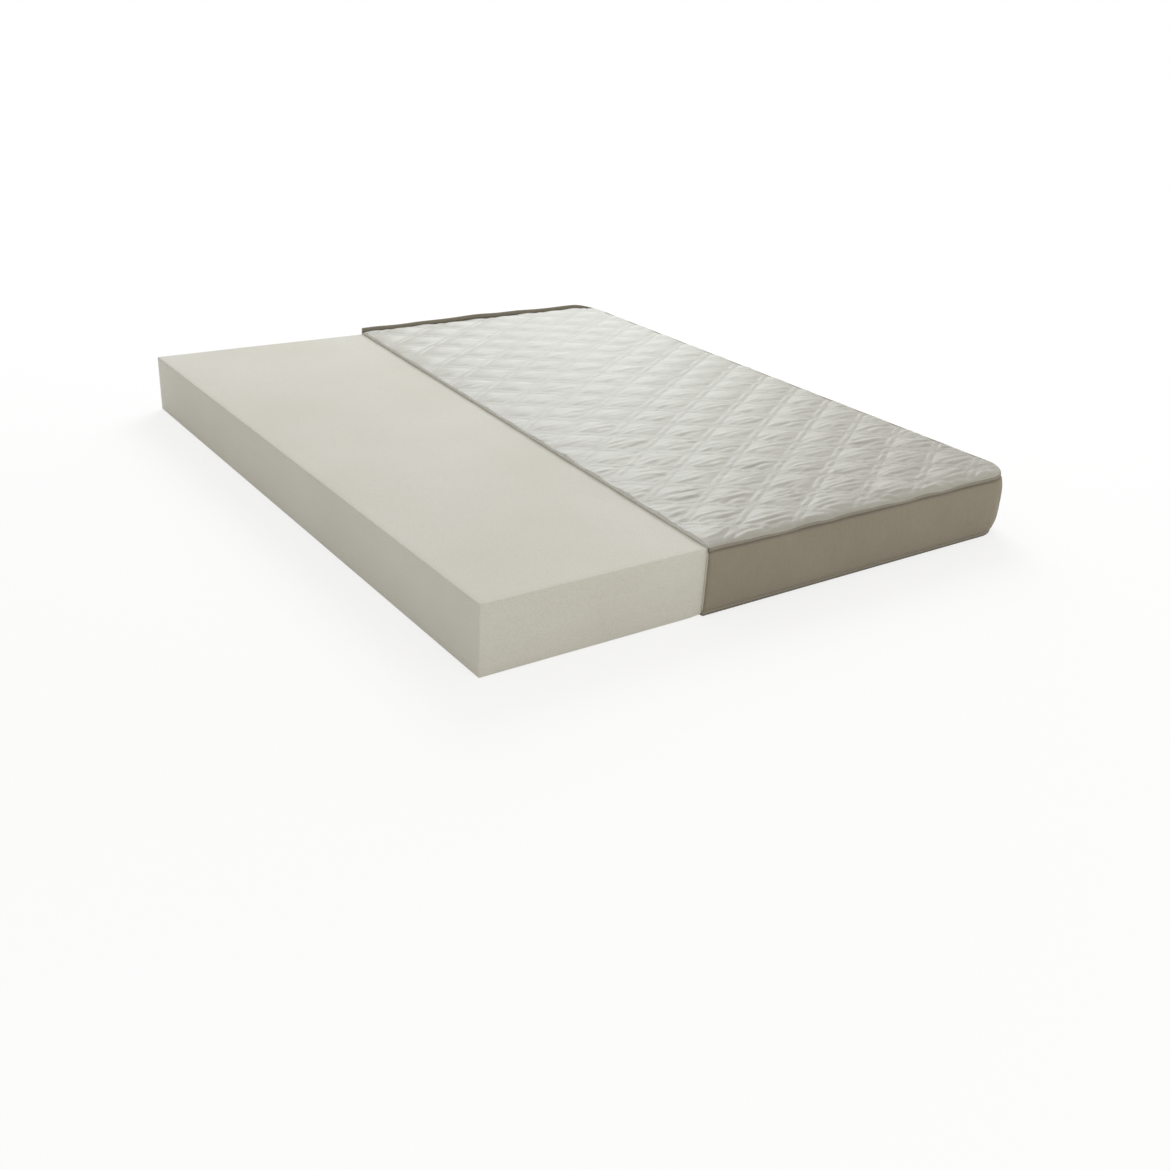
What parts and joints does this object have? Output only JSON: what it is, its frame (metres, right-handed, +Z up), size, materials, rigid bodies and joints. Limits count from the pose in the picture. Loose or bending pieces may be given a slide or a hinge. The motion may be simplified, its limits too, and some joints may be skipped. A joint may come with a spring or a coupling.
{
  "type": "memory foam mattress",
  "caption": "Double mattress shown half undressed: a plain memory foam block with a cut-short quilted cover, taped at its edges, that slides off sideways.",
  "frame": {"origin": "middle of the underside of the whole object, on the surface it lies on", "axes": "+Z up, +Y along the length towards the head, +X across the width from the bare foam towards the covered side"},
  "size_m": [1.6096, 1.919, 0.1794],
  "materials": {
    "memory_foam": "matte open-cell foam with a fine skin, pale greenish cream",
    "quilted_cloth": "ivory satin-weave ticking with a soft sheen",
    "border_cloth": "plain matte taupe cloth",
    "edge_tape": "ribbed woven tape, greyish taupe",
    "tape_thread": "polyester sewing thread, light taupe",
    "wadding": "white fibre wadding",
    "non_woven": "white non-woven cloth",
    "padding_foam": "thin cream foam",
    "felt": "pale grey needle felt",
    "underside_cloth": "plain matte taupe-grey cloth"
  },
  "bodies": {
    "core": {"foam_core": "memory_foam"},
    "cover": {"bottom_panel_ticking": "underside_cloth", "bottom_panel_felt": "felt", "border_padding": "padding_foam", "border_ticking": "border_cloth", "top_panel_backing": "non_woven", "top_panel_wadding": "wadding", "top_panel_ticking": "quilted_cloth", "top_edge_tape": "edge_tape", "top_tape_stitching": "tape_thread", "bottom_edge_tape": "edge_tape", "bottom_tape_stitching": "tape_thread"}
  },
  "joints": [
    {"name": "cover_pull_off", "type": "slide", "parent": "core", "child": "cover", "axis": [1, 0, 0], "range_m": [0, 1.1]}
  ]
}
